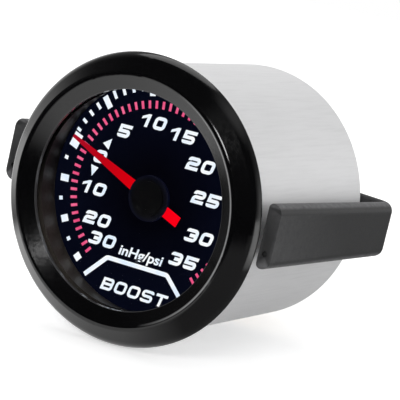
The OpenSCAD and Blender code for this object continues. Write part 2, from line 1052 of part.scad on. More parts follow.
// The bar's section: X from its inner to its outer face, Y up and down
function arc(middle, r, from, n) = [for (i = [0 : n]) middle + polar(r, from + i * 90 / n)];

module bar_section(h) {
    mid = h / 2;
    polygon(concat(
        arc([leg_t - leg_round, mid - leg_round], leg_round, 0, round_steps),
        arc([leg_round_in, mid - leg_round_in], leg_round_in, 90, round_steps / 2),
        arc([leg_round_in, leg_round_in - mid], leg_round_in, 180, round_steps / 2),
        arc([leg_t - leg_round, leg_round - mid], leg_round, 270, round_steps)
    ));
}

// A straight bar whose upper edge passes through two heights
module edge_bar(front, rear) {
    h = 3 * foot_h;
    translate([leg_x, foot_y, front])
        rotate([-atan2(front - rear, leg_run), 0, 0])
            translate([0, leg_run + leg_pad, -h / 2])
                rotate([90, 0, 0])
                    linear_extrude(leg_run + 2 * leg_pad)
                        bar_section(h);
}

module leg() {
    slope = atan2(leg_rise, leg_run);
    difference() {
        intersection() {
            edge_bar(leg_rise + foot_h / 2, bar_h / 2);
            mirror([0, 0, 1])
                edge_bar(foot_h / 2 - leg_rise, bar_h / 2);
            translate([leg_x - over, foot_y, -2 * foot_h])
                cube([leg_t + 2 * over, leg_run, 4 * foot_h]);
        }
        translate([leg_x - over, foot_y, leg_rise])
            rotate([-slope, 0, 0])
                translate([0, leg_pad, channel_margin - bar_h / 2])
                    cube([leg_t - leg_web + over, leg_run - 2 * leg_pad, bar_h - 2 * channel_margin]);
        rod(eye_r, foot_y - over, eye_depth + over,
            [leg_x + eye_in, leg_rise - foot_h / 2 + eye_rise]);
    }
}

module bracket_half() {
    leg();
    translate([leg_x - corner_r, y_corner, 0])
        rotate_extrude(angle = 90)
            translate([corner_r, 0])
                bar_section(bar_h);
}

module u_bracket() {
    color("#4c4e50")
        turned_bracket()
            difference() {
                union() {
                    bracket_half();
                    mirror([1, 0, 0])
                        bracket_half();
                    translate([corner_r - leg_x, y_bar, 0])
                        rotate([90, 0, 90])
                            linear_extrude(2 * (leg_x - corner_r))
                                bar_section(bar_h);
                }
                for (s = [-1, 1])
                    rod(stud_r + stud_clear, y_bar - over, leg_t + 2 * over, [s * stud_x, 0]);
            }
}

module bracket_washers() {
    color("#c9ccd0")
        on_studs()
            ring(washer_r, stud_r + stud_clear, y_bar_back, washer_t, [stud_x, 0]);
}

module knurl_outline() {
    polygon([
        for (k = [0 : 2 * knurl_count - 1])
            polar(thumb_r - (k % 2) * knurl_depth, k * 180 / knurl_count)
    ]);
}

module thumb_nut(side) {
    y_end = y_thumb + thumb_len;
    y_grip = y_thumb + thumb_shoulder;
    turned_bracket()
        translate([side * stud_x, 0, 0])
            difference() {
                intersection() {
                    union() {
                        slab(y_grip, thumb_len - thumb_shoulder)
                            knurl_outline();
                        rod(thumb_shoulder_r, y_thumb, thumb_shoulder);
                    }
                    turned()
                        polygon([
                            [0, y_thumb],
                            [thumb_shoulder_r, y_thumb],
                            [thumb_shoulder_r, y_grip],
                            [thumb_r - thumb_chamfer, y_grip],
                            [thumb_r, y_grip + thumb_chamfer],
                            [thumb_r, y_end - thumb_chamfer],
                            [thumb_r - thumb_chamfer, y_end],
                            [0, y_end]
                        ]);
                }
                rod(stud_r + fit, y_thumb - over, thumb_len + 2 * over);
            }
}

module thumb_nut_left() {
    color("#b4b8bc")
        thumb_nut(-1);
}

module thumb_nut_right() {
    color("#b4b8bc")
        thumb_nut(1);
}

bezel_ring();
lens_gasket();
lens();
dial_shroud();
dial_plate();
light_guide();
led_board();
leds();
spacer_sleeve();
can();
lead_grommet();
pointer_blade();
pointer_hub();
pinion_arbor();
sector_gear();
sector_arbor();
sector_pin();
link_rod();
tip_pin();
tube_tip();
bourdon_tube();
hairspring();
hairspring_post();
movement_front_plate();
movement_back_plate();
movement_pillars();
movement_screws();
pressure_port();
port_washer();
port_nut();
mounting_studs();
stud_jam_nuts();
u_bracket();
bracket_washers();
thumb_nut_left();
thumb_nut_right();
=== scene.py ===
# Boost gauge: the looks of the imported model, in metres and in the model's own frame.
import json
import math
import bmesh
import bpy
from mathutils import Matrix, Vector


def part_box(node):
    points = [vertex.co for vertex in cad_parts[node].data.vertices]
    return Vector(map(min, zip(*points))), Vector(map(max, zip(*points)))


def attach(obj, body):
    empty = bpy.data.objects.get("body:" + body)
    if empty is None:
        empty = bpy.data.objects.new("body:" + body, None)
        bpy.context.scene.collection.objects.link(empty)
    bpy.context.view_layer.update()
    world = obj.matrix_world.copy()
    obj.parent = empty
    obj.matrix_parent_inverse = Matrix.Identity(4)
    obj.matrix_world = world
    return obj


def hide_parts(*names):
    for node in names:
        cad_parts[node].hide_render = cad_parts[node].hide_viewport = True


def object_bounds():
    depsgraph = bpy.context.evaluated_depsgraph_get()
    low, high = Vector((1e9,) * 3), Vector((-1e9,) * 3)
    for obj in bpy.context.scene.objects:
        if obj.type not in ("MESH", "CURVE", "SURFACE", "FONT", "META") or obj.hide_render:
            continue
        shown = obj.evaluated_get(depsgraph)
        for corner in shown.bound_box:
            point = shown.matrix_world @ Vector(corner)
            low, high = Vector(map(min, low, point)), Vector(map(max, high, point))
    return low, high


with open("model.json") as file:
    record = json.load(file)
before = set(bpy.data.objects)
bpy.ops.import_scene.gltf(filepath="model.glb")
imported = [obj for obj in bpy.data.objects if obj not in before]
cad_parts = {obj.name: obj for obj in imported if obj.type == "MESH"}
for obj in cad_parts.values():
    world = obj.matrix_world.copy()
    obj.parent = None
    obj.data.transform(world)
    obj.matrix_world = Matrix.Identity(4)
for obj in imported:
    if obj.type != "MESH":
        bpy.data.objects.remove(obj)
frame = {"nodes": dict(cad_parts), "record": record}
cad_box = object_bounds()
nodes = frame["nodes"]
MM = 0.001


# Colours are written as on a screen, 0 to 255

def colour(red, green, blue):
    def linear(value):
        share = value / 255
        return share / 12.92 if share <= 0.04045 else ((share + 0.055) / 1.055) ** 2.4
    return (linear(red), linear(green), linear(blue), 1)


# Small helpers for node trees

def add(tree, kind, settings=None, values=None):
    node = tree.nodes.new(kind)
    for name, value in (settings or {}).items():
        setattr(node, name, value)
    for name, value in (values or {}).items():
        node.inputs[name].default_value = value
    return node


def join(tree, source, target):
    tree.links.new(source, target)


def calc(tree, operation, first, second=None, clamp=False):
    node = add(tree, "ShaderNodeMath", {"operation": operation, "use_clamp": clamp})
    for socket, value in zip(node.inputs, (first, second)):
        if isinstance(value, bpy.types.NodeSocket):
            join(tree, value, socket)
        elif value is not None:
            socket.default_value = value
    return node.outputs[0]


def blend_colours(tree, factor, dark, light):
    node = add(tree, "ShaderNodeMix", {"data_type": "RGBA"})
    join(tree, factor, node.inputs["Factor"])
    for name, value in (("A", dark), ("B", light)):
        socket = [s for s in node.inputs if s.name == name and s.type == "RGBA"][0]
        if isinstance(value, bpy.types.NodeSocket):
            join(tree, value, socket)
        else:
            socket.default_value = value
    return [s for s in node.outputs if s.type == "RGBA"][0]


def spread(tree, factor, low, high, from_low=0.0, from_high=1.0):
    """Map one range of a value onto another, held at both ends"""
    node = add(tree, "ShaderNodeMapRange", None,
               {"From Min": from_low, "From Max": from_high, "To Min": low, "To Max": high})
    join(tree, factor, node.inputs["Value"])
    return node.outputs["Result"]


def point_axes(tree, frame_of="Object"):
    """The X, Y and Z of a point, each as a socket of its own"""
    place = add(tree, "ShaderNodeTexCoord")
    parts = add(tree, "ShaderNodeSeparateXYZ")
    join(tree, place.outputs[frame_of], parts.inputs[0])
    return parts.outputs


def reach_along(tree, direction):
    """How far a point lies from the origin in one direction"""
    place = add(tree, "ShaderNodeTexCoord")
    product = add(tree, "ShaderNodeVectorMath", {"operation": "DOT_PRODUCT"})
    join(tree, place.outputs["Object"], product.inputs[0])
    product.inputs[1].default_value = direction
    return product.outputs["Value"]


def mirror_rays(tree, path):
    """1 for the rays that show a reflection or pass through glass"""
    return calc(tree, "MAXIMUM", path.outputs["Is Glossy Ray"], path.outputs["Is Transmission Ray"])


def new_group(name, inputs, outputs):
    tree = bpy.data.node_groups.new(name, "ShaderNodeTree")
    for label, kind, value in inputs:
        socket = tree.interface.new_socket(name=label, in_out="INPUT", socket_type=kind)
        if value is not None:
            socket.default_value = value
    for label, kind in outputs:
        tree.interface.new_socket(name=label, in_out="OUTPUT", socket_type=kind)
    return tree, tree.nodes.new("NodeGroupInput").outputs, tree.nodes.new("NodeGroupOutput").inputs


# Shared surface effects

def make_fine_grain():
    """Fine grain, and wide patches of tone"""
    tree, given, out = new_group(
        "fine_grain",
        [("Grain Size", "NodeSocketFloat", 0.0004), ("Patch Size", "NodeSocketFloat", 0.01)],
        [("Grain", "NodeSocketFloat"), ("Patches", "NodeSocketFloat")])
    place = add(tree, "ShaderNodeTexCoord")
    for label, size in (("Grain", "Grain Size"), ("Patches", "Patch Size")):
        noise = add(tree, "ShaderNodeTexNoise", None, {"Detail": 3.0})
        join(tree, place.outputs["Object"], noise.inputs["Vector"])
        join(tree, calc(tree, "DIVIDE", 1.0, given[size]), noise.inputs["Scale"])
        join(tree, noise.outputs["Fac"], out[label])
    return tree


def make_brushed():
    """Fine lines along one axis, or an even speckle where nothing is stretched"""
    tree, given, out = new_group(
        "brushed_lines",
        [("Line Width", "NodeSocketFloat", 0.00008), ("Stretch", "NodeSocketVector", (1.0, 0.05, 1.0))],
        [("Lines", "NodeSocketFloat")])
    place = add(tree, "ShaderNodeTexCoord")
    scaled = add(tree, "ShaderNodeVectorMath", {"operation": "MULTIPLY"})
    join(tree, place.outputs["Object"], scaled.inputs[0])
    join(tree, given["Stretch"], scaled.inputs[1])
    noise = add(tree, "ShaderNodeTexNoise", None, {"Detail": 4.0, "Roughness": 0.6})
    join(tree, scaled.outputs[0], noise.inputs["Vector"])
    join(tree, calc(tree, "DIVIDE", 1.0, given["Line Width"]), noise.inputs["Scale"])
    join(tree, noise.outputs["Fac"], out["Lines"])
    return tree


def make_worn_edges():
    """Wear on sharp outer edges, broken up by noise"""
    tree, given, out = new_group(
        "worn_edges",
        [("Start", "NodeSocketFloat", 0.53), ("Full", "NodeSocketFloat", 0.6)],
        [("Wear", "NodeSocketFloat")])
    shape = add(tree, "ShaderNodeNewGeometry")
    place = add(tree, "ShaderNodeTexCoord")
    noise = add(tree, "ShaderNodeTexNoise", None, {"Scale": 900.0, "Detail": 4.0})
    join(tree, place.outputs["Object"], noise.inputs["Vector"])
    edge = add(tree, "ShaderNodeMapRange", None, {"To Min": 0.0, "To Max": 1.0})
    join(tree, shape.outputs["Pointiness"], edge.inputs["Value"])
    join(tree, given["Start"], edge.inputs["From Min"])
    join(tree, given["Full"], edge.inputs["From Max"])
    join(tree, calc(tree, "MULTIPLY", edge.outputs["Result"], noise.outputs["Fac"], True), out["Wear"])
    return tree


def make_from_axis():
    """Distance from the gauge's axis, and depth along it"""
    tree, _, out = new_group(
        "from_axis", [], [("Radius", "NodeSocketFloat"), ("Depth", "NodeSocketFloat")])
    at = point_axes(tree)
    across = calc(tree, "POWER", at["X"], 2.0)
    upward = calc(tree, "POWER", at["Z"], 2.0)
    join(tree, calc(tree, "SQRT", calc(tree, "ADD", across, upward)), out["Radius"])
    join(tree, at["Y"], out["Depth"])
    return tree


GRAIN = make_fine_grain()
BRUSHED = make_brushed()
WORN = make_worn_edges()
FROM_AXIS = make_from_axis()


def place_group(tree, group, values=None):
    return add(tree, "ShaderNodeGroup", {"node_tree": group}, values)


# The faint ring on the pointer's hub
HUB_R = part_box("pointer_hub")[1].x
HUB_RING = 0.9 * MM

# Painted highlights on the bezel: a light line round its opening, and one on the right half of its crest
MOUTH_R, MOUTH_GLINT_WIDTH = 20.9 * MM, 0.14 * MM
CREST_R, CREST_GLINT_WIDTH = 23.5 * MM, 0.3 * MM
CREST_GLINT_DEPTHS = -3.4 * MM, -2.8 * MM
CREST_GLINT_SIDE = 8 * MM, 19 * MM

# The dial's faint light grows between these distances from the axis
DIAL_GLOW = 6 * MM, 18 * MM

# Painted light on the shroud: it is lighter towards this angle, between these distances from the axis
SHROUD_LIT_ANGLE = math.radians(222)
SHROUD_LIT_FADE = 14 * MM, 22 * MM

# The pointer's colour runs from its tail to its tip
POINTER_ANGLE = math.radians(157.5)
POINTER_ENDS = -7 * MM, 21 * MM
POINTER_STOPS = ((0.0, colour(250, 0, 22)), (0.3, colour(222, 0, 14)), (0.45, colour(212, 0, 14)),
                 (0.75, colour(182, 6, 22)), (1.0, colour(165, 14, 38)))


def new_material(name, values):
    material = bpy.data.materials.new(name)
    material.use_nodes = True
    tree = material.node_tree
    shader = tree.nodes["Principled BSDF"]
    for label, value in values.items():
        shader.inputs[label].default_value = value
    return material, tree, shader


def bump(tree, shader, height, strength, depth):
    node = add(tree, "ShaderNodeBump", None, {"Strength": strength, "Distance": depth})
    join(tree, height, node.inputs["Height"])
    join(tree, node.outputs["Normal"], shader.inputs["Normal"])


def feed_blend(tree, shader, label, factor, dark, light):
    """Feed a colour of the shader with a blend of two"""
    join(tree, blend_colours(tree, factor, dark, light), shader.inputs[label])


def paint_over(tree, shader, mask, tint):
    """Lay a colour over the base colour where a mask is 1"""
    base = shader.inputs["Base Color"].links[0].from_socket
    feed_blend(tree, shader, "Base Color", mask, base, tint)


def ring_line(tree, radius, middle, width):
    """1 on a circle round the axis, falling to 0 on both sides"""
    away = calc(tree, "ABSOLUTE", calc(tree, "SUBTRACT", radius, middle))
    return spread(tree, away, 1.0, 0.0, 0.0, width)


def finish(name, dark, light, rough, values, grain=0.0004, patch=0.01, relief=0.2, depth=0.00001):
    """A surface whose colour and roughness wander between two values, over a fine grain"""
    material, tree, shader = new_material(name, values)
    texture = place_group(tree, GRAIN, {"Grain Size": grain, "Patch Size": patch})
    feed_blend(tree, shader, "Base Color", texture.outputs["Patches"], dark, light)
    uneven = spread(tree, texture.outputs["Grain"], rough[0], rough[1], 0.3, 0.7)
    join(tree, uneven, shader.inputs["Roughness"])
    bump(tree, shader, texture.outputs["Grain"], relief, depth)
    return material, tree, shader


# Materials of the case

def bezel_black():
    """Glossy black, with painted highlights: a fine light line along the edge of the opening, and one on
    the right half of the crest
    """
    material, tree, shader = finish("bezel_black", colour(3, 3, 4), colour(7, 7, 8), (0.1, 0.16),
                                    {"Specular IOR Level": 0.5}, 0.0006, 0.012, 0.1, 0.000003)
    axis = place_group(tree, FROM_AXIS)
    # Painted highlight: a light gray line round the edge of the opening
    mouth_glint = ring_line(tree, axis.outputs["Radius"], MOUTH_R, MOUTH_GLINT_WIDTH)
    paint_over(tree, shader, mouth_glint, colour(70, 70, 71))
    # Painted highlight: a pale line on the crest, only in front and on its right half
    crest = ring_line(tree, axis.outputs["Radius"], CREST_R, CREST_GLINT_WIDTH)
    in_front = spread(tree, axis.outputs["Depth"], 1.0, 0.0, *CREST_GLINT_DEPTHS)
    glint_at_right = spread(tree, point_axes(tree)["X"], 0.0, 1.0, *CREST_GLINT_SIDE)
    crest = calc(tree, "MULTIPLY", calc(tree, "MULTIPLY", crest, in_front), glint_at_right)
    paint_over(tree, shader, crest, colour(150, 150, 151))
    return material


def case_silver():
    """Pale satin metal with faint brushed lines along its length"""
    material, tree, shader = finish("case_silver", colour(232, 232, 233), colour(240, 240, 241),
                                    (0.42, 0.5), {"Metallic": 0.25}, 0.00025, 0.02, 0.25, 0.00001)
    lines = place_group(tree, BRUSHED, {"Line Width": 0.0006, "Stretch": (1.0, 0.05, 1.0)})
    faint = spread(tree, lines.outputs["Lines"], 0.0, 0.3, 0.45, 0.75)
    paint_over(tree, shader, faint, colour(212, 212, 213))
    return material


def lens_clear():
    """Clear and thin, letting light and shadow rays pass straight through"""
    values = {"Base Color": (1, 1, 1, 1), "Transmission Weight": 1.0, "IOR": 1.02, "Metallic": 0.0}
    material, tree, shader = new_material("lens_clear", values)
    texture = place_group(tree, GRAIN, {"Grain Size": 0.002, "Patch Size": 0.02})
    haze = spread(tree, texture.outputs["Patches"], 0.0, 0.03, 0.45, 0.8)
    join(tree, haze, shader.inputs["Roughness"])
    see_through = add(tree, "ShaderNodeBsdfTransparent")
    path = add(tree, "ShaderNodeLightPath")
    lit = calc(tree, "MAXIMUM", path.outputs["Is Shadow Ray"], path.outputs["Is Diffuse Ray"])
    mixed = add(tree, "ShaderNodeMixShader")
    join(tree, lit, mixed.inputs["Fac"])
    join(tree, shader.outputs[0], mixed.inputs[1])
    join(tree, see_through.outputs[0], mixed.inputs[2])
    join(tree, mixed.outputs[0], tree.nodes["Material Output"].inputs["Surface"])
    return material


def seal_rubber():
    return finish("seal_rubber", colour(26, 26, 27), colour(38, 38, 39), (0.6, 0.8), {},
                  0.0003, 0.004, 0.5, 0.00002)[0]


def shroud_black():
    """Satin black, with painted light: warmer and lighter towards the lower left"""
    material, tree, shader = finish("shroud_black", colour(16, 15, 14), colour(20, 19, 17),
                                    (0.48, 0.56), {"Specular IOR Level": 0.3},
                                    0.0006, 0.01, 0.2, 0.000006)
    # Painted light: the shroud grows warmer and lighter towards the lower left
    reach = reach_along(tree, (math.cos(SHROUD_LIT_ANGLE), 0, math.sin(SHROUD_LIT_ANGLE)))
    paint_over(tree, shader, spread(tree, reach, 0.0, 1.0, *SHROUD_LIT_FADE), colour(62, 57, 52))
    return material


def dial_black():
    """Flat black, with a faint blue light towards its edge"""
    material, tree, shader = new_material("dial_black", {"Roughness": 0.6, "Specular IOR Level": 0.0})
    axis = place_group(tree, FROM_AXIS)
    texture = place_group(tree, GRAIN, {"Grain Size": 0.0002, "Patch Size": 0.006})
    outward = spread(tree, axis.outputs["Radius"], 0.0, 1.0, *DIAL_GLOW)
    glow = calc(tree, "MULTIPLY", outward, spread(tree, texture.outputs["Patches"], 0.7, 1.0), True)
    feed_blend(tree, shader, "Base Color", texture.outputs["Patches"], colour(2, 2, 4), colour(4, 4, 7))
    feed_blend(tree, shader, "Emission Color", glow, colour(1, 1, 5), colour(5, 8, 22))
    shader.inputs["Emission Strength"].default_value = 1.0
    bump(tree, shader, texture.outputs["Grain"], 0.3, 0.000006)
    return material


def print_ink(name, edge, middle):
    """Light shining through a printed mark, a little uneven over the dial"""
    values = {"Base Color": (0, 0, 0, 1), "Roughness": 0.6, "Specular IOR Level": 0.0}
    material, tree, shader = new_material(name, values)
    shader.inputs["Emission Strength"].default_value = 1.0
    texture = place_group(tree, GRAIN, {"Grain Size": 0.0006, "Patch Size": 0.003})
    uneven = spread(tree, texture.outputs["Patches"], 0.0, 1.0, 0.35, 0.65)
    feed_blend(tree, shader, "Emission Color", uneven, edge, middle)
    return material


def pointer_red():
    """Lit red plastic, brighter at the tail and deeper at the tip"""
    values = {"Base Color": colour(24, 0, 2), "Roughness": 0.5, "Specular IOR Level": 0.0}
    material, tree, shader = new_material("pointer_red", values)
    shader.inputs["Emission Strength"].default_value = 1.0
    reach = reach_along(tree, (math.cos(POINTER_ANGLE), 0, math.sin(POINTER_ANGLE)))
    ramp = add(tree, "ShaderNodeValToRGB")
    while len(ramp.color_ramp.elements) < len(POINTER_STOPS):
        ramp.color_ramp.elements.new(0.5)
    for element, (position, value) in zip(ramp.color_ramp.elements, POINTER_STOPS):
        element.position = position
        element.color = value
    join(tree, spread(tree, reach, 0.0, 1.0, *POINTER_ENDS), ramp.inputs["Fac"])
    join(tree, ramp.outputs["Color"], shader.inputs["Emission Color"])
    texture = place_group(tree, GRAIN, {"Grain Size": 0.0003, "Patch Size": 0.003})
    bump(tree, shader, texture.outputs["Grain"], 0.2, 0.000006)
    return material


def hub_black():
    """Near black, with a faint blue ring of light at its rim"""
    material, tree, shader = finish("hub_black", colour(2, 2, 3), colour(4, 4, 6), (0.35, 0.5),
                                    {"Specular IOR Level": 0.1, "Emission Strength": 1.0},
                                    0.0003, 0.004, 0.3, 0.000006)
    axis = place_group(tree, FROM_AXIS)
    ring = spread(tree, axis.outputs["Radius"], 0.0, 1.0, HUB_R - HUB_RING, HUB_R)
    feed_blend(tree, shader, "Emission Color", ring, (0, 0, 0, 1), colour(6, 8, 24))
    return material


def bracket_black():
    """Dark gray coating, a little paler where its edges are worn"""
    material, tree, shader = finish("bracket_black", colour(40, 40, 41), colour(46, 46, 47),
                                    (0.42, 0.55), {"Specular IOR Level": 0.4},
                                    0.00022, 0.008, 0.5, 0.00002)
    wear = place_group(tree, WORN, {"Start": 0.56, "Full": 0.7})
    paint_over(tree, shader, wear.outputs["Wear"], colour(120, 120, 122))
    return material


def bare_metal(name, dark, light, rough, stretch=(1.0, 1.0, 1.0)):
    """Metal with fine machining lines, and its lighter tone on worn edges"""
    material, tree, shader = new_material(name, {"Metallic": 1.0})
    lines = place_group(tree, BRUSHED, {"Line Width": 0.0003, "Stretch": stretch})
    texture = place_group(tree, GRAIN, {"Grain Size": 0.0002, "Patch Size": 0.005})
    wear = place_group(tree, WORN, {"Start": 0.53, "Full": 0.62})
    tone = blend_colours(tree, texture.outputs["Patches"], dark, light)
    feed_blend(tree, shader, "Base Color", wear.outputs["Wear"], tone, light)
    uneven = spread(tree, lines.outputs["Lines"], rough[0], rough[1], 0.3, 0.7)
    join(tree, uneven, shader.inputs["Roughness"])
    bump(tree, shader, lines.outputs["Lines"], 0.25, 0.00001)
    return material


MATERIALS = {
    "bezel_black": bezel_black(),
    "case_silver": case_silver(),
    "lens_clear": lens_clear(),
    "seal_rubber": seal_rubber(),
    "shroud_black": shroud_black(),
    "dial_black": dial_black(),
    "guide_clear": finish("guide_clear", colour(210, 222, 228), colour(235, 240, 243), (0.15, 0.3), {})[0],
    "board_green": finish("board_green", colour(22, 70, 40), colour(30, 92, 52), (0.35, 0.5), {})[0],
    "lamp_white": finish("lamp_white", colour(225, 220, 190), colour(245, 240, 215), (0.3, 0.5), {})[0],
    "sleeve_gray": finish("sleeve_gray", colour(58, 60, 64), colour(72, 74, 78), (0.5, 0.65), {})[0],
    "pointer_red": pointer_red(),
    "hub_black": hub_black(),
    "brass": bare_metal("brass", colour(168, 132, 62), colour(205, 168, 92), (0.22, 0.38), (1, 0.2, 1)),
    "steel": bare_metal("steel", colour(140, 142, 146), colour(176, 178, 182), (0.25, 0.4), (1, 0.3, 1)),
    "zinc_steel": bare_metal("zinc_steel", colour(168, 171, 176), colour(200, 203, 208), (0.28, 0.42)),
    "bracket_black": bracket_black(),
}
for part in frame["record"]["subparts"]:
    mesh = nodes[part["node"]].data
    mesh.materials.clear()
    mesh.materials.append(MATERIALS[part["material_slot"]])


def mesh_from(shape, name):
    mesh = bpy.data.meshes.new(name)
    shape.to_mesh(mesh)
    shape.free()
    return mesh


def case_piece(name, mesh, material):
    """A piece of its own that stays with the case"""
    mesh.materials.clear()
    mesh.materials.append(material)
    piece = bpy.data.objects.new(name, mesh)
    bpy.context.scene.collection.objects.link(piece)
    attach(piece, "case")
    return piece


# Marks printed on the dial, drawn in millimetres as seen from the front

DIAL_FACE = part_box("dial_plate")[0].y
INK_T = 0.02 * MM
CORNER_STEPS = 6
MITRE_LIMIT = 0.3


def rounded(points, radii, closed):
    """A line whose corners become arcs"""
    count = len(points)
    out = []
    for i, point in enumerate(points):
        here = Vector(point)
        if radii[i] == 0 or (not closed and i in (0, count - 1)):
            out.append(here)
            continue
        back = (Vector(points[i - 1]) - here).normalized()
        ahead = (Vector(points[(i + 1) % count]) - here).normalized()
        half = math.acos(max(-1, min(1, back.dot(ahead)))) / 2
        reach = radii[i] / math.tan(half)
        middle = here + (back + ahead).normalized() * (radii[i] / math.sin(half))
        start = here + back * reach - middle
        turn = math.atan2(start.x, start.y)
        end = here + ahead * reach - middle
        sweep = math.atan2(end.x, end.y) - turn
        sweep = (sweep + math.pi) % (2 * math.pi) - math.pi
        for k in range(CORNER_STEPS + 1):
            angle = turn + sweep * k / CORNER_STEPS
            out.append(middle + Vector((math.sin(angle), math.cos(angle))) * radii[i])
    return out


def stroke(points, width, closed=False, radii=None):
    """The quads of a line of even width, with mitred corners"""
    line = rounded(points, radii or [0] * len(points), closed)
    count = len(line)
    left, right = [], []
    for i, here in enumerate(line):
        before = line[i - 1] if closed or i else None
        after = line[(i + 1) % count] if closed or i < count - 1 else None
        arms = [(here - before).normalized()] if before is not None else []
        arms += [(after - here).normalized()] if after is not None else []
        along = sum(arms, Vector((0, 0))).normalized()
        side = Vector((-along.y, along.x))
        stretch = 1 / max(MITRE_LIMIT, side.dot(Vector((-arms[0].y, arms[0].x))))
        left.append(here + side * stretch * width / 2)
        right.append(here - side * stretch * width / 2)
    last = count if closed else count - 1
    return [[left[i], left[(i + 1) % count], right[(i + 1) % count], right[i]] for i in range(last)]


def plate_of(name, faces, material, y_front, thickness):
    """A thin closed plate on the dial, one island for each list of outlines"""
    shape = bmesh.new()
    for island in faces:
        made = {}

        def corner(point, y):
            key = (round(point[0], 5), round(point[1], 5), y)
            if key not in made:
                made[key] = shape.verts.new((point[0] * MM, y, point[1] * MM))
            return made[key]

        sides = {}
        for outline in island:
            for y, loop in ((y_front, outline), (y_front + thickness, outline[::-1])):
                shape.faces.new([corner(p, y) for p in loop])
            for a, b in zip(outline, outline[1:] + outline[:1]):
                key = (corner(a, y_front), corner(b, y_front))
                if (key[1], key[0]) in sides:
                    del sides[(key[1], key[0])]
                else:
                    sides[key] = (corner(b, y_front + thickness), corner(a, y_front + thickness))
        for (a, b), (c, d) in sides.items():
            shape.faces.new([a, d, c, b])
    bmesh.ops.recalc_face_normals(shape, faces=shape.faces)
    case_piece(name, mesh_from(shape, name), material)


# Characters: the cell and the bar of the numbers, the step from one cell to the next, the slant
CELL_W, CELL_H, BAR = 2.7, 2.6, 0.68
STEP, AFTER_ONE = 3.3, 2.88
SLANT = math.tan(math.radians(16))
SOFT, WIDE = 0.42, 0.55


def glyph(sign, w=CELL_W, h=CELL_H, t=BAR):
    """The strokes of one upright character in a cell of w by h, drawn with a bar of width t"""
    left, right, base, middle, top = t / 2, w - t / 2, t / 2, h / 2, h - t / 2
    if sign in "0O":
        return [stroke([(left, base), (right, base), (right, top), (left, top)], t, True, [WIDE] * 4)]
    if sign == "1":
        stem, flag = 1.1, 1.15
        return [[[(stem, 0), (stem + t, 0), (stem + t, h), (stem, h - 0.72)]],
                [[(stem, h - 0.72), (stem + t, h), (stem + 0.1, h), (stem - flag, h - 0.62),
                  (stem - flag, h - 1.17)]]]
    if sign == "2":
        line = [(left, 0.7 * h), (left, top), (right, top), (right, middle), (left, middle),
                (left, base), (w, base)]
        return [stroke(line, t, False, [0, 0.3, SOFT, SOFT, 0.4, 0, 0])]
    if sign == "3":
        line = [(left, 0.74 * h), (left, top), (right, top), (right, base), (left, base),
                (left, 0.27 * h)]
        return [stroke(line, t, False, [0, 0.2, WIDE, WIDE, 0.25, 0]),
                stroke([(0.95, middle), (right - t / 2, middle)], t)]
    if sign in "5S":
        low = 0.26 * h
        if sign == "5":
            start, radii = [(w + 0.05, top), (left, top)], [0, 0, 0]
        else:
            start, radii = [(right, h - low), (right, top), (left, top)], [0, 0.25, SOFT, SOFT]
        rest = [(left, middle), (right, middle), (right, base), (left, base), (left, low)]
        return [stroke(start + rest, t, False, radii + [SOFT, SOFT, 0.25, 0])]
    if sign == "B":
        outer = [(left, base), (right, base), (right, top), (left, top)]
        return [stroke(outer, t, True, [0, SOFT, SOFT, 0]),
                stroke([(left + t / 2, middle), (right - t / 2, middle)], t)]
    if sign == "T":
        return [stroke([(0, top), (w, top)], t), stroke([(w / 2, top - t / 2), (w / 2, 0)], t)]
    raise ValueError(sign)


def lettering(text, at, w=CELL_W, h=CELL_H, t=BAR, advance=STEP):
    """Islands of a slanted line of characters whose first cell starts at a point"""
    islands = []
    x = at[0]
    for sign in text:
        for part in glyph(sign, w, h, t):
            islands.append([[(x + p[0] + p[1] * SLANT, at[1] + p[1]) for p in quad] for quad in part])
        x += advance if sign != "1" else AFTER_ONE
    return islands


def tick(angle, r_in, r_out, width):
    """A bar between two radii, at an angle counted from the right"""
    turn = math.radians(angle)
    along = Vector((math.cos(turn), math.sin(turn)))
    side = Vector((-along.y, along.x)) * width / 2
    return [[along * r_in - side, along * r_out - side, along * r_out + side, along * r_in + side]]


ARROW_BACK, ARROW_TIP, ARROW_HALF = 0.75, 1.35, 0.9


def arrow(angle, radius, ahead):
    """A triangle at an angle of the scale that points along it, forward or back"""
    turn = math.radians(angle)
    outward = Vector((math.cos(turn), math.sin(turn)))
    forward = Vector((outward.y, -outward.x)) * ahead
    middle = outward * radius
    back = middle - forward * ARROW_BACK
    return [[back + outward * ARROW_HALF, back - outward * ARROW_HALF, middle + forward * ARROW_TIP]]


# The scale: 30 inHg of vacuum to 35 psi of boost, angles counted from the right
ZERO, PER_PSI, PER_INHG = 159.5, -5.9, 2.24
FINE_START, FINE_STEP, FINE_COUNT = 227.5, 5, 56
fine_ticks = [tick(FINE_START - FINE_STEP * k, 17.2, 18.7, 0.55) for k in range(FINE_COUNT)]
marks = [tick(ZERO, 19.45, 21.4, 3.0)]
for vacuum in (5, 15, 25):
    marks.append(tick(ZERO + PER_INHG * vacuum, 20.6, 21.4, 0.75))
for vacuum, r_in, r_out in ((10, 19.4, 21.3), (20, 19.8, 21.4), (30, 20.1, 21.6)):
    marks.append(tick(ZERO + PER_INHG * vacuum, r_in, r_out, 1.4))
for psi in range(1, 36):
    r_out = min(22.3, 21.4 + 0.14 * psi)
    if psi % 5:
        marks.append(tick(ZERO + PER_PSI * psi, 20.55, r_out, 0.65))
    else:
        marks.append(tick(ZERO + PER_PSI * psi, 19.55, min(22.1, r_out + 0.2), 1.25))
marks += [arrow(145.4, 14.25, 1), arrow(170.1, 14.2, -1)]

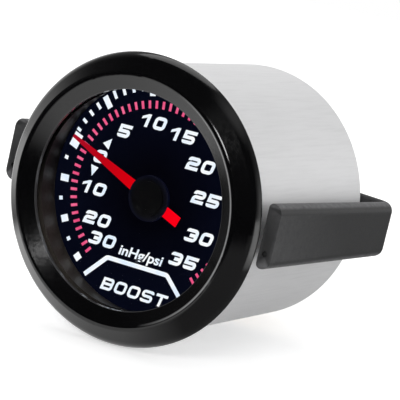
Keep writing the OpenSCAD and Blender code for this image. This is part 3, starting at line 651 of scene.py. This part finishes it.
# Each number and the lower left corner of its first cell, and the line over the word
NUMBERS = (("5", (-10.2, 10.0)), ("10", (-5.5, 13.1)), ("15", (1.4, 11.95)), ("20", (6.15, 7.3)),
           ("25", (8.6, 1.35)), ("30", (8.55, -6.05)), ("35", (6.1, -11.3)), ("0", (-14.7, 3.95)),
           ("10", (-16.4, -2.4)), ("20", (-14.6, -8.15)), ("30", (-12.6, -11.8)))
FRAME_LINE, FRAME_W = [(-12.05, -18.15), (-7.45, -13.58), (6.45, -13.58), (10.15, -17.25)], 0.9
WORD, WORD_AT, WORD_W, WORD_H, WORD_BAR, WORD_STEP = "BOOST", (-8.0, -19.95), 2.6, 2.5, 0.56, 3.1


def white_islands():
    """Islands of the white printing"""
    islands = list(marks)
    for text, at in NUMBERS:
        islands += lettering(text, at)
    islands += lettering(WORD, WORD_AT, WORD_W, WORD_H, WORD_BAR, WORD_STEP)
    islands.append(stroke(FRAME_LINE, FRAME_W, False, [0, 1.0, 1.0, 0]))
    return islands


ink_white = print_ink("print_white", colour(226, 240, 255), colour(250, 253, 255))
ink_pink = print_ink("print_pink", colour(226, 72, 122), colour(240, 108, 150))
ink_y = DIAL_FACE - INK_T
plate_of("white_printing", white_islands(), ink_white, ink_y, INK_T)
plate_of("pink_ticks", fine_ticks, ink_pink, ink_y, INK_T)


UNITS, UNITS_SIZE, UNITS_WIDER, UNITS_AT = "inHg/psi", 2.75 * MM, 1.13, (-0.2 * MM, -12.25 * MM)


def units_text():
    """The two units of the scale, in the plain built-in letters"""
    words = bpy.data.curves.new("units", "FONT")
    words.body = UNITS
    words.size = UNITS_SIZE
    words.shear = 0.2
    words.align_x = "CENTER"
    words.extrude = INK_T / 2
    words.offset = 0.06 * MM
    flat = bpy.data.objects.new("units_flat", words)
    bpy.context.scene.collection.objects.link(flat)
    bpy.context.view_layer.update()
    mesh = bpy.data.meshes.new_from_object(flat.evaluated_get(bpy.context.evaluated_depsgraph_get()))
    bpy.data.objects.remove(flat)
    wider = Matrix.Diagonal((UNITS_WIDER, 1, 1, 1))
    upright = Matrix.Rotation(math.radians(90), 4, "X")
    shift = Matrix.Translation((UNITS_AT[0], DIAL_FACE - INK_T / 2, UNITS_AT[1]))
    mesh.transform(shift @ upright @ wider)
    case_piece("unit_letters", mesh, ink_white)


units_text()


# The two studs, threaded, each with its plain head inside the can
STUD_R, HEAD_R, HEAD_T = 2.0 * MM, 4.2 * MM, 2.2 * MM
PITCH, THREAD_DEPTH = 0.7 * MM, 0.22 * MM
PLAIN_START, PLAIN_END = 0.3 * PITCH, 1.2 * PITCH
TIP_SHORT = 0.01 * MM
ROUND_SIDES, PITCH_STEPS = 24, 5


def ring_of(shape, x, y, radii):
    """Corners round a line that runs along Y, one for each radius"""
    corners = []
    for k, radius in enumerate(radii):
        turn = 2 * math.pi * k / len(radii)
        corners.append(shape.verts.new((x + radius * math.cos(turn), y, radius * math.sin(turn))))
    return corners


def skin(shape, rings):
    """Faces from ring to ring, with both ends closed"""
    for first, second in zip(rings, rings[1:]):
        for k in range(len(first)):
            after = (k + 1) % len(first)
            shape.faces.new([first[k], first[after], second[after], second[k]])
    shape.faces.new(rings[0][::-1])
    shape.faces.new(rings[-1])


def thread_radii(turns):
    """Radii round a thread whose ridge has made some turns"""
    phases = [(turns - k / ROUND_SIDES) % 1 for k in range(ROUND_SIDES)]
    return [STUD_R - THREAD_DEPTH * abs(2 * phase - 1) for phase in phases]


def threaded_studs():
    low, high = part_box("mounting_studs")
    across = high.x - HEAD_R
    start, end = low.y + HEAD_T, high.y
    shape = bmesh.new()
    for x in (-across, across):
        skin(shape, [ring_of(shape, x, y, [HEAD_R] * ROUND_SIDES) for y in (low.y, start)])
        rings = []
        for i in range(int((end - start) / PITCH) * PITCH_STEPS + 1):
            y = start + i * PITCH / PITCH_STEPS
            if start + PLAIN_START <= y <= end - PLAIN_END:
                radii = thread_radii(i / PITCH_STEPS)
            else:
                radii = [STUD_R - THREAD_DEPTH] * ROUND_SIDES
            rings.append(ring_of(shape, x, y, radii))
        rings.append(ring_of(shape, x, end - TIP_SHORT, [STUD_R - 2 * THREAD_DEPTH] * ROUND_SIDES))
        skin(shape, rings)
    bmesh.ops.recalc_face_normals(shape, faces=shape.faces)
    subparts = frame["record"]["subparts"]
    slot = [part["material_slot"] for part in subparts if part["node"] == "mounting_studs"][0]
    piece = case_piece("threaded_studs", mesh_from(shape, "stud_threads"), MATERIALS[slot])
    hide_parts("mounting_studs")


threaded_studs()


# Stage: a pale floor under the gauge, soft light and a white background.
# Reflections show a dimmer room. Its floor is dark far in front, at the far left and under the
# gauge's right side, and a bright card lies on it at the far right.
FLOOR_HALF, FLOOR_DROP, FLOOR_GLOW = 1.2, 0.05 * MM, 0.45
FRONT_FADE = -85 * MM, -50 * MM
LEFT_DARK, LEFT_FADE = 0.1, (-80 * MM, -60 * MM)
BACK_FADE = 10 * MM, 50 * MM
RIGHT_DARK, RIGHT_FADE = 0.2, (4 * MM, 18 * MM)
CARD_LIGHT, CARD_FADE = 4.0, (60 * MM, 90 * MM)
CARD_SLOPES, CARD_SLOPES_END = (-0.2, -0.1), (0.3, 0.5)


def reflected_floor(tree):
    """How bright a place on the floor is in a reflection"""
    at = point_axes(tree)
    in_front = spread(tree, at["Y"], 0.0, 1.0, *FRONT_FADE)
    at_left = calc(tree, "MAXIMUM", spread(tree, at["X"], LEFT_DARK, 1.0, *LEFT_FADE),
                   spread(tree, at["Y"], 0.0, 1.0, *BACK_FADE))
    at_right = spread(tree, at["X"], 1.0, RIGHT_DARK, *RIGHT_FADE)
    plain = calc(tree, "MULTIPLY", in_front, calc(tree, "MULTIPLY", at_left, at_right))
    slope = calc(tree, "DIVIDE", at["Y"], calc(tree, "MAXIMUM", at["X"], 1 * MM))
    card = calc(tree, "MULTIPLY", spread(tree, slope, 0.0, 1.0, *CARD_SLOPES),
                spread(tree, slope, 1.0, 0.0, *CARD_SLOPES_END))
    card = calc(tree, "MULTIPLY", card, spread(tree, at["X"], 0.0, 1.0, *CARD_FADE))
    return calc(tree, "ADD", plain, calc(tree, "MULTIPLY", card, CARD_LIGHT))


def stage_floor():
    top = cad_box[0][2] - FLOOR_DROP
    shape = bmesh.new()
    corners = ((-1, -1), (1, -1), (1, 1), (-1, 1))
    shape.faces.new([shape.verts.new((x * FLOOR_HALF, y * FLOOR_HALF, top)) for x, y in corners])
    mesh = mesh_from(shape, "floor")
    material, tree, shader = new_material("floor_white", {"Roughness": 0.9, "Specular IOR Level": 0.0,
                                                          "Emission Color": (1, 1, 1, 1)})
    path = add(tree, "ShaderNodeLightPath")
    mirrored = mirror_rays(tree, path)
    seen = calc(tree, "MAXIMUM", path.outputs["Is Camera Ray"], mirrored)
    shown = calc(tree, "ADD", calc(tree, "SUBTRACT", 1.0, mirrored, True),
                 calc(tree, "MULTIPLY", mirrored, reflected_floor(tree)))
    glow = calc(tree, "MULTIPLY", calc(tree, "MULTIPLY", seen, FLOOR_GLOW), shown)
    join(tree, glow, shader.inputs["Emission Strength"])
    feed_blend(tree, shader, "Base Color", shown, colour(30, 30, 31), (0.9, 0.9, 0.9, 1))
    mesh.materials.append(material)
    floor = bpy.data.objects.new("floor", mesh)
    bpy.context.scene.collection.objects.link(floor)


# How bright the room is: in reflections in front, at the left and overhead, and on plain surfaces
FRONT_DARK = 0.02
LEFT_LIGHT = 0.05
OVERHEAD = 0.6
SKY = 0.65


def reflected_room(tree):
    """How bright the room is in a reflection, from the direction that it shows"""
    toward = point_axes(tree, "Generated")
    behind = spread(tree, toward["Y"], 0.0, 1.0, -0.2, 0.3)
    low = spread(tree, toward["Z"], 1.0, 0.25, 0.2, 0.5)
    at_left = spread(tree, toward["X"], 0.0, LEFT_LIGHT, -0.55, -0.8)
    above = calc(tree, "MULTIPLY", spread(tree, toward["X"], 0.0, OVERHEAD, 0.1, 0.4),
                 spread(tree, toward["Z"], 0.0, 1.0, 0.65, 0.85))
    room = calc(tree, "MAXIMUM", calc(tree, "MULTIPLY", behind, low),
                calc(tree, "MAXIMUM", at_left, FRONT_DARK))
    return calc(tree, "MAXIMUM", room, above)


def studio_world():
    world = bpy.data.worlds.new("studio")
    bpy.context.scene.world = world
    world.use_nodes = True
    tree = world.node_tree
    background = tree.nodes["Background"]
    path = add(tree, "ShaderNodeLightPath")
    camera = path.outputs["Is Camera Ray"]
    mirrored = calc(tree, "SUBTRACT", mirror_rays(tree, path), path.outputs["Is Diffuse Ray"], True)
    direct = calc(tree, "MAXIMUM", camera, calc(tree, "MULTIPLY", mirrored, reflected_room(tree)))
    plain = calc(tree, "SUBTRACT", 1.0, calc(tree, "MAXIMUM", camera, mirrored), True)
    strength = calc(tree, "ADD", direct, calc(tree, "MULTIPLY", plain, SKY))
    join(tree, strength, background.inputs["Strength"])
    background.inputs["Color"].default_value = (1, 1, 1, 1)


LAMPS_FACE = Vector((0, 20 * MM, 0))


def soft_lamp(name, direction, distance, size, power):
    """A round lamp that faces the middle of the gauge from a direction"""
    lamp = bpy.data.lights.new(name, "AREA")
    lamp.shape = "DISK"
    lamp.size = size
    lamp.energy = power
    item = bpy.data.objects.new(name, lamp)
    away = Vector(direction).normalized()
    item.location = away * distance + LAMPS_FACE
    item.rotation_euler = away.to_track_quat("Z", "Y").to_euler()
    bpy.context.scene.collection.objects.link(item)


stage_floor()
studio_world()
soft_lamp("key", (0.275, -0.83, 0.48), 1.0, 0.3, 3.0)
soft_lamp("top", (-0.3, 0.3, 1.0), 1.2, 1.0, 3.5)


# Camera at the photograph's place: its turn to the right, height, roll and position, and its lens
CAMERA_ANGLES = 29.777, 9.36, 10.252
CAMERA_AT = Vector((188.115, -303.694, 61.138)) * MM
FOCAL_PIXELS, PICTURE_PIXELS, SENSOR_MM = 1921.77, 400, 36


def set_camera():
    turn, height, roll = [math.radians(angle) for angle in CAMERA_ANGLES]
    reach = math.cos(height)
    back = Vector((math.sin(turn) * reach, -math.cos(turn) * reach, math.sin(height)))
    level = (-back).cross(Vector((0, 0, 1))).normalized()
    upward = level.cross(-back)
    right = level * math.cos(roll) + upward * math.sin(roll)
    top = upward * math.cos(roll) - level * math.sin(roll)
    data = bpy.data.cameras.new("camera")
    data.sensor_width = SENSOR_MM
    data.lens = FOCAL_PIXELS / PICTURE_PIXELS * SENSOR_MM
    data.clip_start = 0.01
    camera = bpy.data.objects.new("camera", data)
    turned = Matrix((right, top, back)).transposed()
    camera.matrix_world = Matrix.Translation(CAMERA_AT) @ turned.to_4x4()
    bpy.context.scene.collection.objects.link(camera)
    bpy.context.scene.camera = camera


set_camera()
bpy.context.scene.view_settings.view_transform = "Standard"
